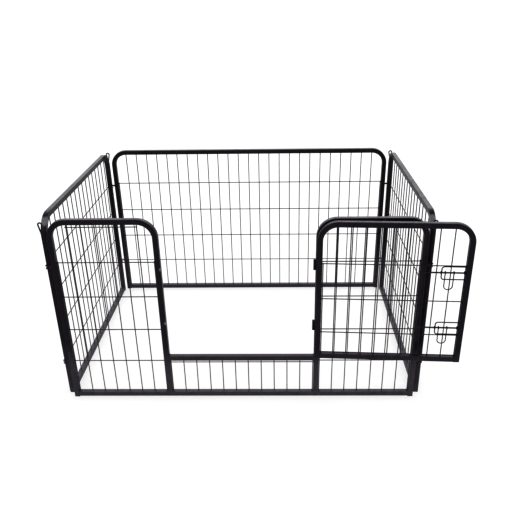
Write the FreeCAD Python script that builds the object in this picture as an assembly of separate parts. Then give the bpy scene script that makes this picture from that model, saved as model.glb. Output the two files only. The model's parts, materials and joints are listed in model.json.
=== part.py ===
# Pet playpen: four square-tube panels with welded wire mesh, hinged together on corner pins,
# with a side-hung door in the front panel that is held shut by two slide bolts.
# Units are millimetres. Z is up, X runs along the long panels, Y points to the back.
# The origin is on the floor at the middle of the pen.
import FreeCAD, Part
import math
import os

V = FreeCAD.Vector
X_AXIS = V(1, 0, 0)
Y_AXIS = V(0, 1, 0)
Z_AXIS = V(0, 0, 1)
ORIGIN = V(0, 0, 0)

# ---- driving dimensions -------------------------------------------------------------------

LONG = 1240.0            # outer length of the front and back panels
SHORT = 800.0            # outer length of the left and right panels
TOP = 700.0              # top of every panel above the floor
TUBE = 18.0              # square tube, outside
WALL = 1.0               # tube wall
EDGE_R = 2.0             # rounded long edges of the tube
BEND = 58.0              # centre-line radius of the bent top corners
FOOT = 2.0               # head of the plastic plug under each outer leg
PIN_OUT = 16.0           # from the end of a panel to the corner pin's axis

DOORWAY = 514.0          # clear width between the two doorway posts
SILL_Z = 166.0           # centre line of the sill rail
SILL_ROW = 147.0         # horizontal wire of the mesh under the sill rail
DOOR_LATCH_GAP = 6.5     # beside the closed door, on the latch side
DOOR_HINGE_GAP = 11.5    # beside the closed door, on the hinge side
DOOR_FOOT = 183.0        # underside of the door
DOOR_TOP = 697.0
DOOR_LIFT = 3.0          # the door's wire rows sit this far above the panels' rows
DOOR_LOW_ROW = 5.5       # extra row, this far above the door's bottom rail
DOOR_OPEN = 177.0        # the door stands this many degrees away from closed

WIRE_R = 1.5             # mesh wire
MESH_Z = 154.0           # lowest horizontal wire
MESH_STEP = 130.4        # between horizontal wires
MESH_ROWS = 4
EDGE_GAP = 2.5           # outermost vertical wire's axis to the tube beside it
WIRE_TAIL = 3.0          # vertical wire left standing above the top horizontal wire
TIE_Z = 672.0            # short tie wire under the top rail of the front bays
LAYER = 1.25             # wires cross this far each side of the mesh plane

PIN_R = 2.25             # corner pin
PIN_FOOT = 20.0          # lower end of the pin above the floor
PIN_NECK_Z = 650.0       # the pin splits into the two sides of its pulling eye
PIN_EYE_Z = 681.5        # centre of the eye's round top
PIN_EYE_R = 6.25
STAPLE_R = 1.75
STAPLE_HALF = 5.0        # half the width of a staple, centre line
STAPLE_LEVELS = (150.0, 530.0)
STAPLE_STEP = 5.0        # long panels carry theirs this far above a level, short ones below

HINGE_OUT = 1.5          # hinge axis in front of the front faces of the posts
HINGE_SIDE = 4.5         # hinge axis from the fixed doorway post
HINGE_Z = (307.0, 539.0)
BARREL_R = 4.0
KNUCKLE = 19.0           # height of one knuckle
KNUCKLE_GAP = 0.4
FIXED_LEAF = 1.2         # leaf on the side of the fixed post, in the gap beside the door
DOOR_LEAF = 3.5          # leaf on the side of the door, thicker to reach the barrel
LEAF_DEPTH = 13.5
HINGE_PIN_R = 2.0
HINGE_PLAY = 0.1         # running fit of the upper knuckle on its pin

BOLT_R = 2.5
BOLT_PLAY = 0.4
BOLT_LAYER = -3.6        # bolt axis from the door's middle plane, on the outside
BOLT_Z = (312.7, 520.9)
BOLT_TAIL = 354.0        # far end of a bolt, measured along the door from the hinge axis
BOLT_TIP = 502.0
GUARD_R = 1.75
GUARD_LAYER = 1.1        # the guard lies between the bolt and the door's mesh
DOOR_ACROSS = 1.6        # wire layers of the door's mesh
DOOR_UPRIGHT = 4.2
GUARD_UP = 24.0          # upper bar of the guard above the bolt
GUARD_DOWN = 22.0        # lower bar below it
GUARD_END = 409.0        # closed end of the guard, measured along the door
GUARD_BEND = 9.0
EYELET_R = 1.6
WELD_BITE = 0.02         # the eyelet sinks this far into the post it is welded to
HANDLE_R = 1.5
HANDLE_MID = 436.0       # middle of the handle, measured along the door
HANDLE_HALF = 14.0       # half its width, centre line
HANDLE_DROP = 48.0       # straight length below the bolt

# ---- derived dimensions -------------------------------------------------------------------

HALF_TUBE = TUBE / 2
FOOT_RAIL_Z = FOOT + HALF_TUBE
MESH_FLOOR = FOOT + TUBE
MESH_CEILING = TOP - TUBE
LONG_Y = SHORT / 2 + PIN_OUT
SHORT_X = LONG / 2 + PIN_OUT
FRONT_Y = -LONG_Y
POST_X = DOORWAY / 2 + HALF_TUBE
HINGE_X = DOORWAY / 2 - HINGE_SIDE
HINGE_Y = FRONT_Y - HALF_TUBE - HINGE_OUT
DOOR_LEFT = -DOORWAY / 2 + DOOR_LATCH_GAP
DOOR_RIGHT = DOORWAY / 2 - DOOR_HINGE_GAP
WIRE_ROWS = [MESH_Z + row * MESH_STEP for row in range(MESH_ROWS)]


# ---- building blocks ----------------------------------------------------------------------

def save(shape, node):
    shape.exportStep("parts/" + node + ".step")


def weld(solids):
    """Several touching solids as one."""
    return solids[0].multiFuse(solids[1:]).removeSplitter()


def group(solids):
    """Separate pieces kept as separate solids of one node."""
    return Part.makeCompound(solids)


def disc(radius, centre, normal):
    return Part.Face(Part.Wire(Part.Circle(centre, normal, radius).toShape()))


def square_face(side, corner):
    """Rounded square in the XY plane, centred on the origin."""
    half = side / 2
    flat = half - corner
    reach = flat + corner * math.sqrt(0.5)
    edges = []
    for quarter in range(4):
        turn = FreeCAD.Rotation(Z_AXIS, 90 * quarter)
        line = Part.LineSegment(turn.multVec(V(half, -flat, 0)), turn.multVec(V(half, flat, 0)))
        arc = Part.Arc(
            turn.multVec(V(half, flat, 0)),
            turn.multVec(V(reach, reach, 0)),
            turn.multVec(V(flat, half, 0)),
        )
        edges.append(line.toShape())
        edges.append(arc.toShape())
    return Part.Face(Part.Wire(edges))


def bar_up(side, corner, x, z_low, z_high):
    """Square bar standing at x in the panel's middle plane."""
    face = square_face(side, corner)
    face.translate(V(x, 0, z_low))
    return face.extrude(V(0, 0, z_high - z_low))


def bar_along(side, corner, x_low, x_high, z):
    """Square bar lying along the panel."""
    face = square_face(side, corner)
    face.rotate(ORIGIN, Y_AXIS, 90)
    face.translate(V(x_low, 0, z))
    return face.extrude(V(x_high - x_low, 0, 0))


def bent_bar(side, corner, x_left, x_right, z_left, z_right, z_rail):
    """Leg, bend, top rail, bend, leg of one bent bar."""
    z_bend = z_rail - BEND
    bend_left = square_face(side, corner)
    bend_left.translate(V(x_left, 0, z_bend))
    bend_right = square_face(side, corner)
    bend_right.rotate(ORIGIN, Y_AXIS, 90)
    bend_right.translate(V(x_right - BEND, 0, z_rail))
    return weld([
        bar_up(side, corner, x_left, z_left, z_bend),
        bend_left.revolve(V(x_left + BEND, 0, z_bend), Y_AXIS, 90),
        bar_along(side, corner, x_left + BEND, x_right - BEND, z_rail),
        bend_right.revolve(V(x_right - BEND, 0, z_bend), Y_AXIS, 90),
        bar_up(side, corner, x_right, z_right, z_bend),
    ])


def hoop(x_left, x_right, z_left, z_right, top=TOP, closed=False):
    """Bent square tube. Its legs end open, or with a welded cap when closed."""
    lift = WALL if closed else -WALL
    z_rail = top - HALF_TUBE
    outside = bent_bar(TUBE, EDGE_R, x_left, x_right, z_left, z_right, z_rail)
    inside = bent_bar(
        TUBE - 2 * WALL, EDGE_R - WALL, x_left, x_right, z_left + lift, z_right + lift, z_rail
    )
    return outside.cut(inside)


def rail(x_low, x_high, z):
    """Straight square tube whose open ends are welded against two legs."""
    outside = bar_along(TUBE, EDGE_R, x_low, x_high, z)
    inside = bar_along(TUBE - 2 * WALL, EDGE_R - WALL, x_low - WALL, x_high + WALL, z)
    return outside.cut(inside)


def wire(radius, start, end):
    return Part.makeCylinder(radius, (end - start).Length, start, end - start)


def mesh(x_low, x_high, pitches, z_low, z_high, rows, across, upright, tie=False):
    """Welded mesh between two legs: across and upright are the two wire layers' Y."""
    first = x_low + EDGE_GAP
    step = (x_high - x_low - 2 * EDGE_GAP) / pitches
    rods = []
    for column in range(pitches + 1):
        x = first + column * step
        at_leg = column in (0, pitches)
        top = min(z_high, rows[-1] + WIRE_TAIL) if at_leg else z_high
        rods.append(wire(WIRE_R, V(x, upright, z_low), V(x, upright, top)))
    for z in rows:
        rods.append(wire(WIRE_R, V(x_low, across, z), V(x_high, across, z)))
    if tie:
        tie_low = first + step - WIRE_TAIL
        tie_high = first + (pitches - 1) * step + WIRE_TAIL
        rods.append(wire(WIRE_R, V(tie_low, across, TIE_Z), V(tie_high, across, TIE_Z)))
    return weld(rods)


def foot_plug(x):
    """Plastic plug: a square head under the leg and a stub inside it."""
    head = bar_up(TUBE, EDGE_R, x, 0, FOOT)
    stub = bar_up(TUBE - 2 * WALL, EDGE_R - WALL, x, FOOT, FOOT + 14.0)
    return weld([head, stub])


def staple(end_x, z):
    """U-shaped wire welded to a panel's end; the corner pin runs down inside its bow."""
    side = 1 if end_x > 0 else -1
    axis_x = end_x + side * PIN_OUT
    near = wire(STAPLE_R, V(end_x, -STAPLE_HALF, z), V(axis_x, -STAPLE_HALF, z))
    far = wire(STAPLE_R, V(end_x, STAPLE_HALF, z), V(axis_x, STAPLE_HALF, z))
    bow = disc(STAPLE_R, V(axis_x, -STAPLE_HALF, z), X_AXIS)
    bow = bow.revolve(V(axis_x, 0, z), Z_AXIS, 180 * side)
    return weld([near, far, bow])


def staples(half, lift):
    return group([staple(side * half, z + lift) for side in (-1, 1) for z in STAPLE_LEVELS])


def corner_pin(x, y):
    """Round rod whose top is a closed pulling eye shaped like a drop."""
    neck = V(x, y, PIN_NECK_Z)
    spread = math.asin(PIN_EYE_R / (PIN_EYE_Z - PIN_NECK_Z))
    reach = PIN_EYE_R * math.cos(spread)
    shoulder = PIN_EYE_Z - PIN_EYE_R * math.sin(spread)
    left = V(x - reach, y, shoulder)
    right = V(x + reach, y, shoulder)
    crown = disc(PIN_R, right, right - neck)
    crown = crown.revolve(V(x, y, PIN_EYE_Z), Y_AXIS, -180 - 2 * math.degrees(spread))
    return weld([
        wire(PIN_R, V(x, y, PIN_FOOT), neck),
        Part.makeSphere(PIN_R, neck),
        wire(PIN_R, neck, left),
        wire(PIN_R, neck, right),
        crown,
    ])


def placed(shape, turn, x, y):
    """Moves a panel-frame shape to its place in the pen."""
    copy = shape.copy()
    copy.rotate(ORIGIN, Z_AXIS, turn)
    copy.translate(V(x, y, 0))
    return copy


def on_door(shape):
    """Swings a shape built on the closed door to where the open door stands."""
    copy = shape.copy()
    copy.rotate(V(HINGE_X, HINGE_Y, 0), Z_AXIS, DOOR_OPEN)
    return copy


def along_door(distance):
    """X on the closed door for a distance from the hinge axis."""
    return HINGE_X - distance


os.makedirs("parts", exist_ok=True)

# ---- three plain panels: back, left and right ---------------------------------------------

for name, length, pitches, turn, x, y, lift in (
    ("back", LONG, 26, 0, 0, LONG_Y, STAPLE_STEP),
    ("left", SHORT, 17, 90, -SHORT_X, 0, -STAPLE_STEP),
    ("right", SHORT, 17, -90, SHORT_X, 0, -STAPLE_STEP),
):
    leg = length / 2 - HALF_TUBE
    inner = length / 2 - TUBE
    save(placed(hoop(-leg, leg, FOOT, FOOT), turn, x, y), name + "_hoop")
    save(placed(rail(-inner, inner, FOOT_RAIL_Z), turn, x, y), name + "_bottom_rail")
    panel_mesh = mesh(
        -inner, inner, pitches, MESH_FLOOR, MESH_CEILING, WIRE_ROWS, LAYER, -LAYER
    )
    save(placed(panel_mesh, turn, x, y), name + "_mesh")
    save(placed(group([foot_plug(-leg), foot_plug(leg)]), turn, x, y), name + "_foot_plugs")
    save(placed(staples(length / 2, lift), turn, x, y), name + "_staples")

# ---- front panel: two hoops either side of the doorway ------------------------------------

long_leg = LONG / 2 - HALF_TUBE
long_inner = LONG / 2 - TUBE
bay_inner = POST_X + HALF_TUBE
bolt_holes = [
    wire(BOLT_R + BOLT_PLAY, V(-DOORWAY / 2 - TUBE / 2, BOLT_LAYER, z), V(0, BOLT_LAYER, z))
    for z in BOLT_Z
]
latch_hoop = hoop(-long_leg, -POST_X, FOOT, MESH_FLOOR).cut(bolt_holes)
hinge_hoop = hoop(POST_X, long_leg, MESH_FLOOR, FOOT)
save(placed(latch_hoop, 0, 0, FRONT_Y), "front_left_hoop")
save(placed(hinge_hoop, 0, 0, FRONT_Y), "front_right_hoop")
save(placed(rail(-long_inner, long_inner, FOOT_RAIL_Z), 0, 0, FRONT_Y), "front_bottom_rail")
save(placed(rail(-DOORWAY / 2, DOORWAY / 2, SILL_Z), 0, 0, FRONT_Y), "doorway_sill_rail")

for name, x_low, x_high in (
    ("front_left_mesh", -long_inner, -bay_inner),
    ("front_right_mesh", bay_inner, long_inner),
):
    bay = mesh(
        x_low, x_high, 7, MESH_FLOOR, MESH_CEILING, WIRE_ROWS, -LAYER, LAYER, tie=True
    )
    save(placed(bay, 0, 0, FRONT_Y), name)
sill_mesh = mesh(
    -DOORWAY / 2, DOORWAY / 2, 11, MESH_FLOOR, SILL_Z - HALF_TUBE, [SILL_ROW], -LAYER, LAYER
)
save(placed(sill_mesh, 0, 0, FRONT_Y), "doorway_sill_mesh")
front_plugs = group([foot_plug(-long_leg), foot_plug(long_leg)])
save(placed(front_plugs, 0, 0, FRONT_Y), "front_foot_plugs")
save(placed(staples(LONG / 2, STAPLE_STEP), 0, 0, FRONT_Y), "front_staples")

# ---- door hinges --------------------------------------------------------------------------


def knuckle(z_low, height, leaf, bore):
    """Hinge barrel with a leaf that is welded to a post's side. A negative leaf goes to the door."""
    post_x = DOOR_RIGHT if leaf < 0 else DOORWAY / 2
    barrel = wire(BARREL_R, V(HINGE_X, HINGE_Y, z_low), V(HINGE_X, HINGE_Y, z_low + height))
    corner = V(min(post_x, post_x - leaf), HINGE_Y, z_low)
    plate = Part.makeBox(abs(leaf), LEAF_DEPTH, height, corner)
    hole = wire(bore, V(HINGE_X, HINGE_Y, z_low - 1), V(HINGE_X, HINGE_Y, z_low + height + 1))
    return weld([barrel, plate]).cut(hole)


fixed_knuckles = []
door_knuckles = []
hinge_pins = []
for z in HINGE_Z:
    fixed_knuckles.append(knuckle(z - KNUCKLE, KNUCKLE - KNUCKLE_GAP, FIXED_LEAF, HINGE_PIN_R))
    door_knuckles.append(knuckle(z, KNUCKLE, -DOOR_LEAF, HINGE_PIN_R + HINGE_PLAY))
    hinge_pins.append(
        wire(HINGE_PIN_R, V(HINGE_X, HINGE_Y, z - KNUCKLE), V(HINGE_X, HINGE_Y, z + KNUCKLE + 1))
    )
save(group(fixed_knuckles), "hinge_lower_knuckles")
save(group(hinge_pins), "hinge_pins")
save(on_door(group(door_knuckles)), "hinge_upper_knuckles")

# ---- door ---------------------------------------------------------------------------------

door_leg_low = DOOR_LEFT + HALF_TUBE
door_leg_high = DOOR_RIGHT - HALF_TUBE
door_inner_low = DOOR_LEFT + TUBE
door_inner_high = DOOR_RIGHT - TUBE
post_holes = [
    wire(BOLT_R + BOLT_PLAY, V(DOOR_LEFT - 1, BOLT_LAYER, z), V(door_inner_low + 1, BOLT_LAYER, z))
    for z in BOLT_Z
]
door_hoop = hoop(door_leg_low, door_leg_high, DOOR_FOOT, DOOR_FOOT, top=DOOR_TOP, closed=True)
door_hoop = door_hoop.cut(post_holes)
door_rail = rail(door_inner_low, door_inner_high, DOOR_FOOT + HALF_TUBE)
door_mesh_floor = DOOR_FOOT + TUBE
door_rows = [door_mesh_floor + DOOR_LOW_ROW] + [z + DOOR_LIFT for z in WIRE_ROWS[1:]]
door_mesh = mesh(
    door_inner_low, door_inner_high, 10, door_mesh_floor, DOOR_TOP - TUBE,
    door_rows, DOOR_ACROSS, DOOR_UPRIGHT,
)
save(on_door(placed(door_hoop, 0, 0, FRONT_Y)), "door_hoop")
save(on_door(placed(door_rail, 0, 0, FRONT_Y)), "door_bottom_rail")
save(on_door(placed(door_mesh, 0, 0, FRONT_Y)), "door_mesh")

# ---- latches: guard, guide eyelets, slide bolt and drop handle ----------------------------


def eyelet(x, z):
    """Wire ring the bolt slides in."""
    ring_r = BOLT_R + BOLT_PLAY + EYELET_R
    return Part.makeTorus(ring_r, EYELET_R, V(x, BOLT_LAYER, z), X_AXIS)


def guard(z):
    """U-shaped wire on the door's free post, with the bolt's inner eyelet on its closed end."""
    post = door_inner_low
    end = along_door(GUARD_END)
    low = z - GUARD_DOWN
    high = z + GUARD_UP
    lower_corner = disc(GUARD_R, V(end - GUARD_BEND, GUARD_LAYER, low), X_AXIS)
    upper_corner = disc(GUARD_R, V(end - GUARD_BEND, GUARD_LAYER, high), X_AXIS)
    return weld([
        wire(GUARD_R, V(post, GUARD_LAYER, low), V(end - GUARD_BEND, GUARD_LAYER, low)),
        lower_corner.revolve(V(end - GUARD_BEND, GUARD_LAYER, low + GUARD_BEND), Y_AXIS, -90),
        wire(GUARD_R, V(end, GUARD_LAYER, low + GUARD_BEND), V(end, GUARD_LAYER, high - GUARD_BEND)),
        upper_corner.revolve(V(end - GUARD_BEND, GUARD_LAYER, high - GUARD_BEND), Y_AXIS, 90),
        wire(GUARD_R, V(post, GUARD_LAYER, high), V(end - GUARD_BEND, GUARD_LAYER, high)),
        eyelet(end, z),
    ])


def drop_handle(z):
    """Wire loop hanging from the bolt on two eyes."""
    ring_r = BOLT_R + BOLT_PLAY + HANDLE_R
    mid = along_door(HANDLE_MID)
    bottom = z - HANDLE_DROP
    bow = disc(HANDLE_R, V(mid - HANDLE_HALF, BOLT_LAYER, bottom), Z_AXIS)
    pieces = [bow.revolve(V(mid, BOLT_LAYER, bottom), Y_AXIS, -180)]
    for side in (-1, 1):
        x = mid + side * HANDLE_HALF
        pieces.append(Part.makeTorus(ring_r, HANDLE_R, V(x, BOLT_LAYER, z), X_AXIS))
        pieces.append(wire(HANDLE_R, V(x, BOLT_LAYER, bottom), V(x, BOLT_LAYER, z - ring_r)))
    return weld(pieces)


eyelets = []
for name, z in zip(("lower", "upper"), BOLT_Z):
    rod = wire(
        BOLT_R, V(along_door(BOLT_TAIL), BOLT_LAYER, z), V(along_door(BOLT_TIP), BOLT_LAYER, z)
    )
    save(on_door(placed(guard(z), 0, 0, FRONT_Y)), name + "_latch_guard")
    save(on_door(placed(rod, 0, 0, FRONT_Y)), name + "_slide_bolt")
    save(on_door(placed(drop_handle(z), 0, 0, FRONT_Y)), name + "_bolt_handle")
    eyelets.append(eyelet(door_inner_low + EYELET_R - WELD_BITE, z))
save(on_door(placed(group(eyelets), 0, 0, FRONT_Y)), "post_eyelets")

# ---- corner pins --------------------------------------------------------------------------

for name, x, y in (
    ("back_left", -SHORT_X, LONG_Y),
    ("back_right", SHORT_X, LONG_Y),
    ("front_left", -SHORT_X, -LONG_Y),
    ("front_right", SHORT_X, -LONG_Y),
):
    save(corner_pin(x, y), name + "_pin")
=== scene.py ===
import bpy
import bmesh
import json
import math
from mathutils import Matrix, Vector, noise


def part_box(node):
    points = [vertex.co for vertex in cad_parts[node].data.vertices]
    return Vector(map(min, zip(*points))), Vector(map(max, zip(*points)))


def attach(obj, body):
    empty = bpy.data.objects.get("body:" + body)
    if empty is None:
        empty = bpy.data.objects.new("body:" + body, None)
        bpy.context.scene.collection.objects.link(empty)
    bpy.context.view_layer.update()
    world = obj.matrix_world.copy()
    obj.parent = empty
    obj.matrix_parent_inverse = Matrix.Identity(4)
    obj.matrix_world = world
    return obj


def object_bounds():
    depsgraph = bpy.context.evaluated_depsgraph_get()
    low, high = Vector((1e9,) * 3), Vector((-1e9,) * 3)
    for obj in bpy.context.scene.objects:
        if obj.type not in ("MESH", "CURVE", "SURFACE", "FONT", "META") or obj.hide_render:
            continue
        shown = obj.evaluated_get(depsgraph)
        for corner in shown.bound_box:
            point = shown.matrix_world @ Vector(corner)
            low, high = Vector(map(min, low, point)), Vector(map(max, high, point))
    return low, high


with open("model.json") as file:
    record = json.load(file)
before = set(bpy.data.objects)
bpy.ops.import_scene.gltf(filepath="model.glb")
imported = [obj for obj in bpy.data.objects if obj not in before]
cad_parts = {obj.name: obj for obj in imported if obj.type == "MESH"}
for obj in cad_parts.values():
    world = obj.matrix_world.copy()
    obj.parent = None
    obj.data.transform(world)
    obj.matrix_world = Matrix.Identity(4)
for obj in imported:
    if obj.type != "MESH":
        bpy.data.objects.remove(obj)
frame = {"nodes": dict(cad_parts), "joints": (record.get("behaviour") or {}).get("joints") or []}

CAD_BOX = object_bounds()
MM = 0.001
Z_UP = Vector((0.0, 0.0, 1.0))
NODES = frame["nodes"]
JOINTS = {joint["name"]: joint for joint in frame["joints"]}

# ---- camera -------------------------------------------------------------------------------

CAM_PLACE = (0.13713, -2.15527, 1.39184)
CAM_YAW = -0.021720       # to the right of straight back, radians
CAM_PITCH = 0.426720      # downward
CAM_ROLL = -0.014695
CAM_SENSOR = 36.0
CAM_LENS = 40.97994
CAM_SHIFT = (-0.019924, -0.021990)


def make_camera():
    ahead = Vector((
        math.sin(CAM_YAW) * math.cos(CAM_PITCH),
        math.cos(CAM_YAW) * math.cos(CAM_PITCH),
        -math.sin(CAM_PITCH),
    ))
    level = Vector((math.cos(CAM_YAW), -math.sin(CAM_YAW), 0.0))
    above = level.cross(ahead)
    right = math.cos(CAM_ROLL) * level + math.sin(CAM_ROLL) * above
    up = -math.sin(CAM_ROLL) * level + math.cos(CAM_ROLL) * above
    data = bpy.data.cameras.new("camera")
    data.sensor_width = CAM_SENSOR
    data.lens = CAM_LENS
    data.shift_x, data.shift_y = CAM_SHIFT
    data.clip_end = 200.0
    camera = bpy.data.objects.new("camera", data)
    bpy.context.scene.collection.objects.link(camera)
    turn = Matrix((right, up, -ahead)).transposed().to_4x4()
    camera.matrix_world = Matrix.Translation(CAM_PLACE) @ turn
    bpy.context.scene.camera = camera


make_camera()

# ---- node helpers -------------------------------------------------------------------------


class Net:
    """A material's node tree with short calls for what this file uses."""

    def __init__(self, tree):
        self.tree = tree

    def add(self, kind, settings=(), inputs=()):
        made = self.tree.nodes.new(kind)
        for key, value in dict(settings).items():
            setattr(made, key, value)
        for key, value in dict(inputs).items():
            self.feed(made.inputs[key], value)
        return made

    def feed(self, socket, value):
        if isinstance(value, bpy.types.NodeSocket):
            self.tree.links.new(value, socket)
        else:
            socket.default_value = value

    def math(self, kind, *values):
        made = self.add("ShaderNodeMath", {"operation": kind})
        for index, value in enumerate(values):
            self.feed(made.inputs[index], value)
        return made.outputs[0]

    def fit(self, value, low, high, out_low=0.0, out_high=1.0, smooth=False):
        """Maps low..high to out_low..out_high, held at both ends."""
        made = self.add(
            "ShaderNodeMapRange",
            {"interpolation_type": "SMOOTHSTEP" if smooth else "LINEAR"},
            {"From Min": low, "From Max": high, "To Min": out_low, "To Max": out_high},
        )
        self.feed(made.inputs["Value"], value)
        return made.outputs["Result"]

    def mix(self, factor, first, second):
        made = self.add("ShaderNodeMix", {"data_type": "RGBA"})
        self.feed(made.inputs[0], factor)
        self.feed(made.inputs[6], first)
        self.feed(made.inputs[7], second)
        return made.outputs[2]

    def noise(self, place, scale, detail=2.0, rough=0.5, warp=0.0):
        made = self.add("ShaderNodeTexNoise", {}, {
            "Vector": place, "Scale": scale, "Detail": detail, "Roughness": rough,
            "Distortion": warp,
        })
        return made.outputs["Fac"]

    def stretched(self, place, stretch):
        made = self.add("ShaderNodeMapping", {}, {"Vector": place, "Scale": stretch})
        return made.outputs["Vector"]

    def bump(self, height, distance, strength, below=None):
        made = self.add("ShaderNodeBump", {}, {
            "Height": height, "Distance": distance, "Strength": strength,
        })
        if below is not None:
            self.feed(made.inputs["Normal"], below)
        return made.outputs["Normal"]


def new_material(name):
    material = bpy.data.materials.new(name)
    material.use_nodes = True
    material.node_tree.nodes.clear()
    net = Net(material.node_tree)
    shader = net.add("ShaderNodeBsdfPrincipled")
    out = net.add("ShaderNodeOutputMaterial")
    net.tree.links.new(shader.outputs[0], out.inputs[0])
    return material, net, shader


# ---- materials ----------------------------------------------------------------------------

COAT_DARK = (0.0042, 0.0036, 0.0050, 1.0)     # clean powder coat
COAT_WORN = (0.0110, 0.0098, 0.0125, 1.0)     # rubbed, slightly chalky coat
COAT_DUST_AND_REFLECTION = (0.0900, 0.0840, 0.0960, 1.0)     # dust film near the floor, and a painted reflection of the white floor that lightens the lower parts
CHIP = (0.1500, 0.1450, 0.1480, 1.0)          # primer in a nick
RUBBED_AND_HIGHLIGHT = (0.3200, 0.3150, 0.3250, 1.0)        # coat that a bolt has polished pale at the latch post, and a painted highlight on a bent corner
SPECULAR = 0.45
SHEEN_TINT = (0.93, 0.82, 1.0, 1.0)           # the coat's gloss is slightly violet
DUST_AND_REFLECTION_TOP = 0.24           # dust and the painted floor reflection reach this high above the floor
DUST_AND_REFLECTION_FULL = 0.11          # and are at their thickest up to here
PLUG_CLEAN = (0.008, 0.0075, 0.009, 1.0)
PLUG_SCUFFED = (0.045, 0.042, 0.044, 1.0)
PLUG_HEAD = 0.002         # height of a plug's head, where it scuffs the floor
BOLT_RUB_R = 6.0 * MM     # pale patch where a bolt enters the latch post
BOLT_RUB_BACK = 16.0 * MM  # its middle, from the post's inner face
BOLT_R = 2.5 * MM
BEND_HIGHLIGHT_R = 15.0 * MM    # painted highlight on the outside of a bent corner
BEND_HIGHLIGHT_IN = 20.0 * MM   # its middle, from the corner's two outer faces


def powder_coat(name, grain, gloss, dust_and_reflection, chips, rub_and_highlight_spots=()):
    """Black powder coat: orange-peel skin, rubbed patches, fine scratches, nicks, and floor dust
    that also paints the white floor's reflection onto the lower parts. grain scales the skin's
    bumps, gloss is the
    clean coat's roughness, and the last argument lists places with a reach where the coat is
    painted pale:
    rubbed by a bolt at the latch post, and a painted highlight on a bent corner."""
    material, net, shader = new_material(name)
    place = net.add("ShaderNodeTexCoord").outputs["Object"]
    facing = net.add("ShaderNodeNewGeometry").outputs["Normal"]
    up = net.add("ShaderNodeSeparateXYZ", {}, {"Vector": facing}).outputs["Z"]
    height = net.add("ShaderNodeSeparateXYZ", {}, {"Vector": place}).outputs["Z"]

    cloud = net.noise(place, 9.0, 3.0)
    blotch = net.noise(place, 55.0, 4.0, 0.6)
    speck = net.noise(place, 900.0, 2.0)
    rubbed = net.fit(net.math("MULTIPLY", cloud, blotch), 0.20, 0.42, smooth=True)
    colour = net.mix(rubbed, COAT_DARK, COAT_WORN)

    # real dust near the floor together with a painted reflection of the white floor: lower parts
    # are lightened, upward faces most
    low = net.fit(height, DUST_AND_REFLECTION_FULL, DUST_AND_REFLECTION_TOP, 1.0, 0.0, smooth=True)
    upward_dust_and_reflection = net.fit(up, 0.3, 0.95, 0.6, 1.0, smooth=True)
    dust_and_reflection_film = net.math("MULTIPLY", net.math("MULTIPLY", low, upward_dust_and_reflection), dust_and_reflection)
    settled_dust_and_reflection = net.math("MULTIPLY", dust_and_reflection_film, net.fit(blotch, 0.25, 0.75, 0.55, 1.0))
    colour = net.mix(settled_dust_and_reflection, colour, COAT_DUST_AND_REFLECTION)

    hair = net.noise(net.stretched(place, (1.0, 1.0, 0.06)), 420.0, 3.0, 0.7, 0.8)
    scratch = net.fit(hair, 0.685, 0.72)
    nick_seed = net.noise(place, 150.0, 2.0, 0.5, 0.4)
    nick = net.math("MULTIPLY", net.fit(nick_seed, 0.735, 0.76), chips)
    colour = net.mix(net.math("MULTIPLY", scratch, 0.16), colour, COAT_DUST_AND_REFLECTION)
    colour = net.mix(nick, colour, CHIP)
    # pale patches: coat rubbed by the bolts at the latch post, and painted highlights on the bends
    for spot, reach in rub_and_highlight_spots:
        away = net.add("ShaderNodeVectorMath", {"operation": "DISTANCE"}, {0: place, 1: spot})
        fray = net.fit(blotch, 0.3, 0.7, -0.4 * reach, 0.4 * reach)
        ragged = net.math("ADD", away.outputs["Value"], fray)
        colour = net.mix(net.fit(ragged, 0.6 * reach, 1.3 * reach, 0.45, 0.0), colour, RUBBED_AND_HIGHLIGHT)

    rough = net.math("ADD", gloss, net.math("MULTIPLY", rubbed, 0.12))
    rough = net.math("ADD", rough, net.math("MULTIPLY", settled_dust_and_reflection, 0.22))
    rough = net.math("ADD", rough, net.fit(speck, 0.3, 0.7, -0.03, 0.03))
    rough = net.math("ADD", rough, net.math("MULTIPLY", nick, 0.25))

    peel = net.noise(place, 620.0 * grain, 2.0, 0.45)
    wave = net.noise(place, 70.0 * grain, 2.0)
    normal = net.bump(wave, 0.0004, 0.25)
    normal = net.bump(peel, 0.00012, 0.30, normal)
    cuts = net.math("ADD", scratch, net.math("MULTIPLY", nick, 2.0))
    normal = net.bump(cuts, 0.00006, -0.6, normal)

    for socket, value in (
        ("Base Color", colour), ("Roughness", rough), ("Normal", normal), ("IOR", 1.5),
        ("Specular IOR Level", SPECULAR), ("Specular Tint", SHEEN_TINT), ("Coat Weight", 0.0),
    ):
        net.feed(shader.inputs[socket], value)
    return material


def moulded_plastic(name):
    """Matte black plastic of the foot plugs, with a spark-eroded skin and scuffed edges."""
    material, net, shader = new_material(name)
    place = net.add("ShaderNodeTexCoord").outputs["Object"]
    height = net.add("ShaderNodeSeparateXYZ", {}, {"Vector": place}).outputs["Z"]
    cloud = net.noise(place, 160.0, 3.0)
    grit = net.noise(place, 1700.0, 2.0, 0.6)
    worn = net.fit(cloud, 0.45, 0.65, smooth=True)
    scuff = net.math("MULTIPLY", worn, net.fit(height, 0.0, PLUG_HEAD, 1.0, 0.2))
    colour = net.mix(scuff, PLUG_CLEAN, PLUG_SCUFFED)
    rough = net.math("ADD", 0.52, net.math("MULTIPLY", scuff, 0.2))
    rough = net.math("ADD", rough, net.fit(grit, 0.3, 0.7, -0.04, 0.04))
    normal = net.bump(grit, 0.00010, 0.5)
    for socket, value in (
        ("Base Color", colour), ("Roughness", rough), ("Normal", normal),
        ("Specular IOR Level", 0.3),
    ):
        net.feed(shader.inputs[socket], value)
    return material


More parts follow.
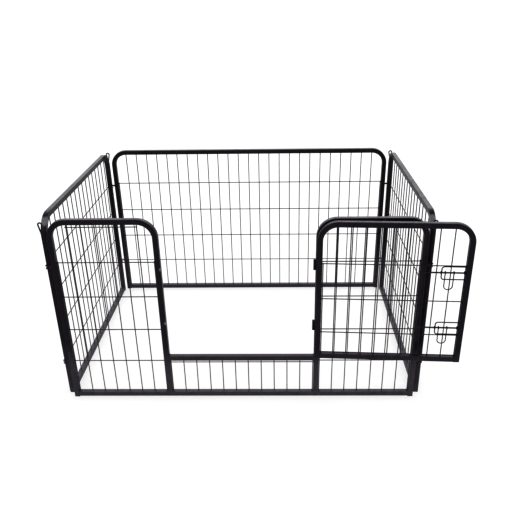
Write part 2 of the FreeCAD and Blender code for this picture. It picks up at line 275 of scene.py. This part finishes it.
def rubbed_and_highlight_places():
    """Pale spots: where the bolts rub the latch post, and painted highlights on the front bends of
    the two side panels.
    """
    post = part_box("front_left_hoop")[1]
    places = []
    for bolt in ("lower_slide_bolt", "upper_slide_bolt"):
        axis_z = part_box(bolt)[1].z - BOLT_R
        places.append((Vector((post.x, post.y - BOLT_RUB_BACK, axis_z)), BOLT_RUB_R))
    # painted highlights on the side panels' front bends
    for hoop in ("left_hoop", "right_hoop"):
        low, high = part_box(hoop)
        bend = Vector(((low.x + high.x) / 2, low.y + BEND_HIGHLIGHT_IN, high.z - BEND_HIGHLIGHT_IN))
        places.append((bend, BEND_HIGHLIGHT_R))
    return places


TUBE_COAT = powder_coat("tube_powder_coat", 1.0, 0.30, 1.0, 0.7, rubbed_and_highlight_places())
WIRE_COAT = powder_coat("wire_powder_coat", 1.6, 0.34, 0.8, 0.5)
HARDWARE_COAT = powder_coat("hardware_powder_coat", 1.4, 0.28, 0.8, 0.8)
WELD_COAT = powder_coat("weld_powder_coat", 2.2, 0.36, 0.9, 0.3)
PLUG_PLASTIC = moulded_plastic("plug_plastic")
BY_SLOT = {
    "tube": TUBE_COAT, "mesh_wire": WIRE_COAT, "hardware": HARDWARE_COAT, "foot_plug": PLUG_PLASTIC,
}
for node in NODES.values():
    for place in node.material_slots:
        place.material = BY_SLOT[place.material.name.split(".")[0]]

# ---- floor, sky and lights ----------------------------------------------------------------

FLOOR_R = 60.0
FLOOR_ALBEDO = (0.20, 0.20, 0.20, 1.0)
FLOOR_GRAIN = (0.19, 0.19, 0.19, 1.0)
FLOOR_GLOW = 0.74         # the floor is a lit table, so its shadows are faint
WHITE = (1.0, 1.0, 1.0, 1.0)
SKY_RIM = 1.25            # strength at the horizon
SKY_BAND = 2.9            # strength of the brightest band
SKY_FADE = 0.3            # overhead, as a part of the band's strength
BOX_PLACE = (0.0, 3.4, 2.6)
BOX_AIM = (0.0, 0.0, 0.5)
BOX_SIZE = (4.0, 1.4)
BOX_POWER = 10.0


def make_floor():
    mesh = bpy.data.meshes.new("floor")
    shape = bmesh.new()
    bmesh.ops.create_circle(shape, cap_ends=True, segments=96, radius=FLOOR_R)
    shape.to_mesh(mesh)
    shape.free()
    floor = bpy.data.objects.new("floor", mesh)
    bpy.context.scene.collection.objects.link(floor)
    material, net, shader = new_material("floor_paper")
    place = net.add("ShaderNodeTexCoord").outputs["Object"]
    grain = net.noise(place, 300.0, 2.0)
    tone = net.mix(net.fit(grain, 0.3, 0.7), FLOOR_ALBEDO, FLOOR_GRAIN)
    net.feed(shader.inputs["Base Color"], tone)
    net.feed(shader.inputs["Roughness"], net.fit(grain, 0.3, 0.7, 0.85, 0.95))
    net.feed(shader.inputs["Specular IOR Level"], 0.0)
    net.feed(shader.inputs["Emission Color"], WHITE)
    net.feed(shader.inputs["Emission Strength"], FLOOR_GLOW)
    mesh.materials.append(material)


def make_sky():
    """Even white studio light that is brightest in a band above the horizon."""
    world = bpy.data.worlds.new("studio")
    world.use_nodes = True
    bpy.context.scene.world = world
    world.node_tree.nodes.clear()
    net = Net(world.node_tree)
    ray = net.add("ShaderNodeTexCoord").outputs["Generated"]
    rise = net.add("ShaderNodeSeparateXYZ", {}, {"Vector": ray}).outputs["Z"]
    near = net.fit(rise, 0.12, 0.42, SKY_RIM, SKY_BAND, smooth=True)
    strength = net.math("MULTIPLY", near, net.fit(rise, 0.5, 0.85, 1.0, SKY_FADE, smooth=True))
    glow = net.add("ShaderNodeBackground", {}, {"Strength": strength})
    glow.inputs["Color"].default_value = WHITE
    out = net.add("ShaderNodeOutputWorld")
    net.tree.links.new(glow.outputs[0], out.inputs[0])


def softbox(name, place, aim, size, power):
    data = bpy.data.lights.new(name, "AREA")
    data.shape = "RECTANGLE"
    data.size, data.size_y = size
    data.energy = power
    light = bpy.data.objects.new(name, data)
    bpy.context.scene.collection.objects.link(light)
    light.location = place
    light.rotation_euler = (Vector(aim) - Vector(place)).to_track_quat("-Z", "Y").to_euler()
    light.visible_camera = False


make_floor()
make_sky()
softbox("back_box", BOX_PLACE, BOX_AIM, BOX_SIZE, BOX_POWER)
bpy.context.scene.view_settings.view_transform = "Standard"
bpy.context.scene.view_settings.gamma = 0.60

# ---- weld details -------------------------------------------------------------------------

WIRE_R = 1.5 * MM
STAPLE_R = 1.75 * MM
NEAR = 0.4 * MM           # two points this close lie on the same face
END_REACH = 3.9 * MM      # rim points of one wire end lie this close together
CROSS_SIZE = (2.1 * MM, 1.75 * MM, 2.1 * MM)  # half sizes of a weld where two wires cross
FOOT_SIZE = (2.7 * MM, 2.4 * MM, 1.3 * MM)    # where an upright wire meets a rail
SIDE_SIZE = (1.3 * MM, 2.4 * MM, 2.7 * MM)    # where a wire across meets a leg
FILLET_R = 1.9 * MM       # bead in the corner between a rail and a leg
FILLET_IN = 0.5 * MM      # its axis, along the rail from the leg
FILLET_OUT = 0.3 * MM     # and proud of the rail
FILLET_SHORT = 1.2 * MM   # it stops this far from the rail's edges
SEAM_R = 1.35 * MM        # bead on the seam across a rail's side
SEAM_SINK = 0.95 * MM     # its axis lies this deep in the tube
SEAM_SHORT = 1.5 * MM
RING_SIDES = 10           # sides of a bead's cross section
RINGS_PER_COIN = 4


def clusters(points, reach):
    """Groups points that lie within reach of each other and returns each group."""
    groups = []
    for point in points:
        touching = [g for g in groups if any((point - other).length < reach for other in g)]
        merged = [point]
        for g in touching:
            merged += g
            groups.remove(g)
        groups.append(merged)
    return groups


def corners(points):
    low = Vector([min(p[i] for p in points) for i in range(3)])
    high = Vector([max(p[i] for p in points) for i in range(3)])
    return low, high


def middle(points):
    low, high = corners(points)
    return (low + high) / 2


class Panel:
    """A panel's own directions: along it, through it and up."""

    def __init__(self, along):
        self.along = Vector(along).normalized()
        self.through = Z_UP.cross(self.along)
        self.axes = (self.along, self.through, Z_UP)

    def local(self, point):
        return Vector((point.dot(self.along), point.dot(self.through), point.z))

    def world(self, s, d, z):
        return self.along * s + self.through * d + Z_UP * z

    def points(self, *nodes):
        return [self.local(v.co) for n in nodes for v in NODES[n].data.vertices]

    def ends(self, points, axis, value):
        """Middles of the wire ends that lie on the plane where coordinate axis is value."""
        flat = [p for p in points if abs(p[axis] - value) < NEAR]
        return [middle(g) for g in clusters(flat, END_REACH)]


class Beads:
    """One mesh of weld beads and dabs."""

    def __init__(self):
        self.shape = bmesh.new()

    def dab(self, centre, axes, sizes, seed):
        """Lumpy flattened drop: axes are three directions, sizes its half sizes along them."""
        made = bmesh.ops.create_icosphere(self.shape, subdivisions=2, radius=1.0)
        for v in made["verts"]:
            swell = 1.0 + 0.16 * noise.noise(v.co * 1.7 + Vector((seed, 0.3 * seed, 0.0)))
            move = Vector((0.0, 0.0, 0.0))
            for axis, size, part in zip(axes, sizes, v.co):
                move += axis * (size * part * swell)
            v.co = centre + move

    def bead(self, start, end, radius, seed, pitch=1.9 * MM):
        """Row of overlapping drops along a seam, like a stack of coins."""
        way = end - start
        steps = max(4, int(way.length / pitch) * RINGS_PER_COIN)
        ahead = way.normalized()
        side = ahead.orthogonal().normalized()
        other = ahead.cross(side)
        rings = []
        for step in range(steps + 1):
            part = step / steps
            ripple = 0.86 + 0.14 * abs(math.cos(math.pi * part * steps / RINGS_PER_COIN))
            from_end = max(0.0, min(part, 1 - part)) * way.length
            close = min(1.0, 4.2 * math.sqrt(from_end / radius / 6))
            wander = side * (0.12 * radius * noise.noise(Vector((seed, part * 9.0, 0.0))))
            ring = []
            for turn in range(RING_SIDES):
                angle = 2 * math.pi * turn / RING_SIDES
                lump = 1.0 + 0.10 * noise.noise(Vector((seed, part * 14.0, angle)))
                reach = radius * ripple * max(0.12, close) * lump
                spot = start + way * part + wander
                ring.append(self.shape.verts.new(
                    spot + side * (reach * math.cos(angle)) + other * (reach * math.sin(angle))
                ))
            rings.append(ring)
        for first, second in zip(rings, rings[1:]):
            for turn in range(RING_SIDES):
                after = (turn + 1) % RING_SIDES
                self.shape.faces.new((first[turn], first[after], second[after], second[turn]))
        self.shape.faces.new(list(reversed(rings[0])))
        self.shape.faces.new(rings[-1])

    def finish(self, name, body):
        mesh = bpy.data.meshes.new(name)
        bmesh.ops.recalc_face_normals(self.shape, faces=self.shape.faces)
        self.shape.to_mesh(mesh)
        self.shape.free()
        mesh.polygons.foreach_set("use_smooth", [True] * len(mesh.polygons))
        mesh.materials.append(WELD_COAT)
        piece = bpy.data.objects.new(name, mesh)
        bpy.context.scene.collection.objects.link(piece)
        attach(piece, body)


def mesh_welds(beads, panel, node):
    """Spot welds where wires cross, and dabs where wire ends meet the tube."""
    points = panel.points(node)
    low, high = corners(points)
    feet = panel.ends(points, 2, low.z)
    rows = panel.ends(points, 0, low.x)
    layer = rows[0].y
    side = 1 if layer > feet[0].y else -1
    ties = [p for p in points if side * (p.y - layer) > 0.2 * MM and p.z > rows[0].z and all(
        abs(p.z - r.z) > 2 * WIRE_R for r in rows)]
    levels = [(r.z, low.x, high.x) for r in rows]
    if ties:
        levels.append((middle(ties).z, min(p.x for p in ties), max(p.x for p in ties)))
    crossing = (layer + feet[0].y) / 2
    seed = 0.0
    for foot in feet:
        column = [
            p for p in points
            if abs(p.x - foot.x) < 1.1 * WIRE_R and abs(p.y - foot.y) < 1.1 * WIRE_R
        ]
        top = max(p.z for p in column)
        for z, left, right in levels:
            seed += 1.7
            if z < top and left < foot.x < right:
                beads.dab(panel.world(foot.x, crossing, z), panel.axes, CROSS_SIZE, seed)
        tips = [low.z]
        if top > high.z - NEAR:
            tips.append(top)
        for z in tips:
            seed += 1.3
            beads.dab(panel.world(foot.x, foot.y, z), panel.axes, FOOT_SIZE, seed)
    for z in (r.z for r in rows):
        for s in (low.x, high.x):
            seed += 2.1
            beads.dab(panel.world(s, layer, z), panel.axes, SIDE_SIZE, seed)


def on_box_side(spot):
    """True on the pen's outermost faces, whose seams are ground flush."""
    return any(
        spot[i] < CAD_BOX[0][i] + 1.0 * MM or spot[i] > CAD_BOX[1][i] - 1.0 * MM for i in (0, 1)
    )


def rail_welds(beads, panel, node, under):
    """Fillets where a straight rail's ends are welded between two legs."""
    points = panel.points(node)
    low, high = corners(points)
    seed = 3.0
    for s, inward in ((low.x, 1), (high.x, -1)):
        edge = s + inward * FILLET_IN
        for z, on in ((high.z, True), (low.z, under)):
            seed += 5.3
            if on:
                lift = FILLET_OUT if z == high.z else -FILLET_OUT
                beads.bead(
                    panel.world(edge, low.y + FILLET_SHORT, z + lift),
                    panel.world(edge, high.y - FILLET_SHORT, z + lift), FILLET_R, seed,
                )
        for d in (low.y, high.y):
            seed += 4.1
            if on_box_side(panel.world(s, d, low.z)):
                continue
            sink = SEAM_SINK if d == low.y else -SEAM_SINK
            beads.bead(
                panel.world(s, d + sink, low.z + SEAM_SHORT),
                panel.world(s, d + sink, high.z - SEAM_SHORT), SEAM_R, seed,
            )


def end_welds(beads, panel, node, axis, value, radius):
    """Dabs round the wire ends that are welded to a tube's face."""
    sizes = [radius * 1.7, radius * 1.7, radius * 1.7]
    sizes[axis] = radius * 0.8
    for index, spot in enumerate(panel.ends(panel.points(node), axis, value)):
        beads.dab(panel.world(*spot), panel.axes, sizes, 7.0 + 2.3 * index)


STRAIGHT = Panel((1, 0, 0))
SIDEWAYS = Panel((0, 1, 0))
ON_DOOR = Panel(JOINTS["lower_bolt_slide"]["axis"])

for name, panel in (("back", STRAIGHT), ("left", SIDEWAYS), ("right", SIDEWAYS)):
    beads = Beads()
    mesh_welds(beads, panel, name + "_mesh")
    rail_welds(beads, panel, name + "_bottom_rail", False)
    hoop = panel.points(name + "_hoop")
    for value in (min(p.x for p in hoop), max(p.x for p in hoop)):
        end_welds(beads, panel, name + "_staples", 0, value, STAPLE_R)
    beads.finish(name + "_welds", name + "_panel")

beads = Beads()
for node in ("front_left_mesh", "front_right_mesh", "doorway_sill_mesh"):
    mesh_welds(beads, STRAIGHT, node)
rail_welds(beads, STRAIGHT, "front_bottom_rail", False)
rail_welds(beads, STRAIGHT, "doorway_sill_rail", True)
for value in (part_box("front_left_hoop")[0].x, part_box("front_right_hoop")[1].x):
    end_welds(beads, STRAIGHT, "front_staples", 0, value, STAPLE_R)
beads.finish("front_welds", "front_panel")

beads = Beads()
mesh_welds(beads, ON_DOOR, "door_mesh")
rail_welds(beads, ON_DOOR, "door_bottom_rail", True)
free_post = max(p.x for p in ON_DOOR.points("door_mesh"))
for node in ("lower_latch_guard", "upper_latch_guard"):
    end_welds(beads, ON_DOOR, node, 0, free_post, STAPLE_R)
beads.finish("door_welds", "door")
